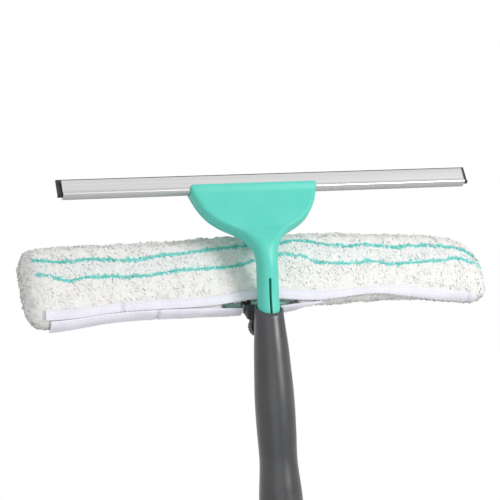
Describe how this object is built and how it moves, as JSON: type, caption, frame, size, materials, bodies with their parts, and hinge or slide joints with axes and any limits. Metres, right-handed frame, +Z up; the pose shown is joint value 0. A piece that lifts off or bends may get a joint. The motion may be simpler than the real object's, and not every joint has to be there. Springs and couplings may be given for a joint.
{
  "type": "telescopic window squeegee",
  "caption": "Window squeegee with a wide aluminium blade channel and rubber, a mint head, a tilting pile scrubber behind its neck, a moulded grip and a twist-lock telescopic pole.",
  "frame": {"origin": "centre of the flat bottom of the end cap's hanging eye, on the pole's axis", "axes": "+Z up the pole towards the blade, +X along the blade to the right as seen from the front, +Y to the back, where the scrubber and the lock knob are; the blade and the scrubber lean back by 26 degrees"},
  "size_m": [0.35, 0.0698, 0.7887],
  "materials": {
    "mint_plastic": "satin moulded plastic",
    "mint_bar": "matt moulded plastic",
    "grip_plastic": "dark grey moulded plastic with a soft sheen",
    "dark_plastic": "dark grey moulded plastic",
    "black_plastic": "black moulded plastic",
    "soft_grip": "soft ribbed rubber",
    "black_rubber": "smooth black rubber",
    "aluminium": "satin extruded aluminium",
    "tube_aluminium": "satin anodised tube",
    "steel": "zinc plated steel",
    "brass": "turned brass",
    "white_pile": "short white pile with turquoise lines",
    "hem_weave": "flat woven tape"
  },
  "bodies": {
    "pole_lower": {"outer_tube": "tube_aluminium", "end_cap": "dark_plastic", "lower_grip": "soft_grip", "lock_base": "dark_plastic", "lock_cone": "dark_plastic"},
    "lock": {"lock_collar": "mint_plastic"},
    "pole_upper": {"inner_tube": "tube_aluminium", "tube_guide": "dark_plastic", "pole_socket": "dark_plastic", "socket_screw": "steel", "handle_grip": "grip_plastic", "threaded_insert": "brass", "scrubber_bracket": "dark_plastic", "hinge_pin": "steel", "pin_retainer": "steel"},
    "screw_washer": {"lock_washer": "steel"},
    "knob": {"lock_knob": "black_plastic", "lock_screw": "steel"},
    "scrubber": {"t_bar": "mint_bar", "scrubber_sleeve": "white_pile", "front_hem": "hem_weave", "back_hem_left": "hem_weave", "back_hem_right": "hem_weave"},
    "head": {"head_body": "mint_plastic", "head_back_plate": "mint_plastic", "head_screw_left": "steel", "head_screw_right": "steel"},
    "blade": {"blade_channel": "aluminium", "squeegee_rubber": "black_rubber"}
  },
  "joints": [
    {"name": "lock_twist", "type": "hinge", "parent": "pole_lower", "child": "lock", "pos_m": [0, 0, 0.4655], "axis": [0, 0, 1], "range_deg": [0, 90]},
    {"name": "pole_slide", "type": "slide", "parent": "pole_lower", "child": "pole_upper", "axis": [0, 0, 1], "range_m": [0, 0.34]},
    {"name": "screw_travel", "type": "slide", "parent": "pole_upper", "child": "screw_washer", "axis": [0, 1, 0], "range_m": [0, 0.0016]},
    {"name": "knob_turn", "type": "hinge", "parent": "screw_washer", "child": "knob", "pos_m": [0, 0.0234, 0.6788], "axis": [0, 1, 0], "range_deg": [0, 823]},
    {"name": "scrubber_tilt", "type": "hinge", "parent": "pole_upper", "child": "scrubber", "pos_m": [0, 0.0227, 0.6933], "axis": [-1, 0, 0], "range_deg": [0, 35]},
    {"name": "head_release", "type": "slide", "parent": "pole_upper", "child": "head", "axis": [0, 0, 1], "range_m": [0, 0.045]},
    {"name": "channel_shift", "type": "slide", "parent": "head", "child": "blade", "axis": [1, 0, 0], "range_m": [-0.026, 0.013]}
  ],
  "couplings": [
    {"joint": "knob_turn", "follows": "screw_travel", "rad_per_m": 8976}
  ]
}
